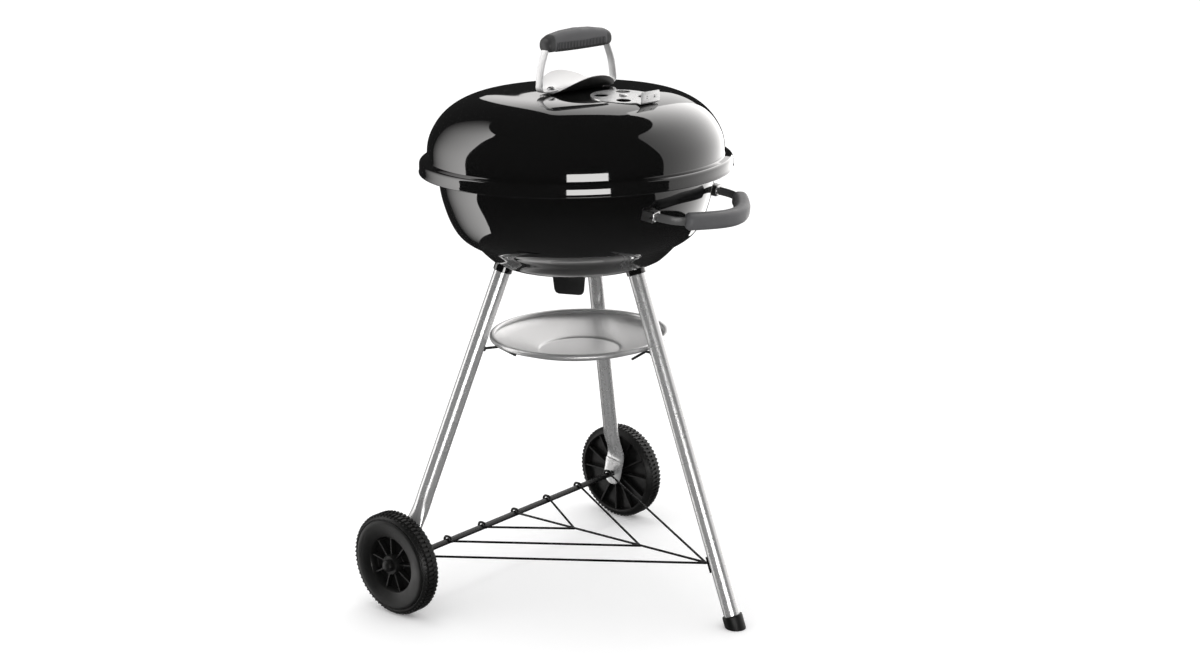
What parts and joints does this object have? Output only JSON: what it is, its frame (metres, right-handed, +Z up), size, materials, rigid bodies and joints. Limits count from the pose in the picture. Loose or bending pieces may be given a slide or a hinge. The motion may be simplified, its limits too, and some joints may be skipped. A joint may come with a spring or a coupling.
{
  "type": "kettle charcoal grill",
  "caption": "Round black enamelled kettle charcoal grill with domed lid, ash pan, wire rack and a tube-legged cart with a wheeled axle.",
  "frame": {"origin": "middle of the footprint's bounding box, on the floor", "axes": "+Z up, -Y towards the single front leg and the bowl handle, +X along the axle to the right wheel"},
  "size_m": [0.6004, 0.5632, 0.899],
  "materials": {
    "enamel": "gloss black vitreous enamel",
    "vent_enamel": "satin black enamel",
    "leg_steel": "polished tube",
    "aluminium": "satin aluminium",
    "plated_steel": "zinc plated",
    "grate_steel": "plated wire",
    "black_wire": "satin black coating",
    "grip_plastic": "charcoal grey glass-filled nylon",
    "wheel_plastic": "satin black moulded plastic"
  },
  "bodies": {
    "cart": {"bowl": "enamel", "bowl_damper_rivet": "plated_steel", "bowl_handle_bow": "black_wire", "bowl_handle_grip": "grip_plastic", "bowl_handle_bracket_left": "leg_steel", "bowl_handle_bracket_right": "leg_steel", "grate_ledge_1": "plated_steel", "grate_ledge_2": "plated_steel", "grate_ledge_3": "plated_steel", "leg_front": "leg_steel", "leg_left": "leg_steel", "leg_right": "leg_steel", "leg_socket_front": "vent_enamel", "leg_socket_left": "vent_enamel", "leg_socket_right": "vent_enamel", "front_foot_cap": "wheel_plastic", "pan_clip_front": "black_wire", "pan_clip_left": "black_wire", "pan_clip_right": "black_wire", "bottom_rack": "black_wire", "rack_screw": "plated_steel", "axle": "black_wire", "wheel_washer_left": "plated_steel", "wheel_washer_right": "plated_steel", "axle_cap_left": "wheel_plastic", "axle_cap_right": "wheel_plastic"},
    "lid_assembly": {"lid": "enamel", "lid_damper_rivet": "leg_steel", "heat_shield": "plated_steel", "lid_handle_strap": "aluminium", "lid_grip": "grip_plastic", "lid_handle_bolt_left": "plated_steel", "lid_handle_bolt_right": "plated_steel", "lid_handle_nut_left": "plated_steel", "lid_handle_nut_right": "plated_steel"},
    "lid_vent": {"lid_damper": "aluminium"},
    "bowl_vent": {"bowl_damper": "vent_enamel"},
    "upper_grate": {"cooking_grate": "grate_steel"},
    "lower_grate": {"charcoal_grate": "grate_steel"},
    "pan": {"ash_pan": "aluminium"},
    "wheel_l": {"wheel_left": "wheel_plastic"},
    "wheel_r": {"wheel_right": "wheel_plastic"}
  },
  "joints": [
    {"name": "lid_lift", "type": "slide", "parent": "cart", "child": "lid_assembly", "axis": [0, 0, 1], "range_m": [0, 0.35]},
    {"name": "lid_damper_turn", "type": "hinge", "parent": "lid_assembly", "child": "lid_vent", "pos_m": [-0.00823, -0.06276, 0.80326], "axis": [-0.0055, -0.0684, 0.9976], "range_deg": [0, 45]},
    {"name": "bowl_damper_turn", "type": "hinge", "parent": "cart", "child": "bowl_vent", "pos_m": [0, 0.03991, 0.53], "axis": [0, 0, 1], "range_deg": [0, 45]},
    {"name": "cooking_grate_lift", "type": "slide", "parent": "cart", "child": "upper_grate", "axis": [0, 0, 1], "range_m": [0, 0.07]},
    {"name": "charcoal_grate_lift", "type": "slide", "parent": "cart", "child": "lower_grate", "axis": [0, 0, 1], "range_m": [0, 0.05]},
    {"name": "ash_pan_lift", "type": "slide", "parent": "cart", "child": "pan", "axis": [0, 0, 1], "range_m": [0, 0.004]},
    {"name": "wheel_left_spin", "type": "hinge", "parent": "cart", "child": "wheel_l", "pos_m": [-0.2757, 0.19051, 0.0825], "axis": [1, 0, 0], "continuous": true},
    {"name": "wheel_right_spin", "type": "hinge", "parent": "cart", "child": "wheel_r", "pos_m": [0.2757, 0.19051, 0.0825], "axis": [1, 0, 0], "continuous": true}
  ]
}
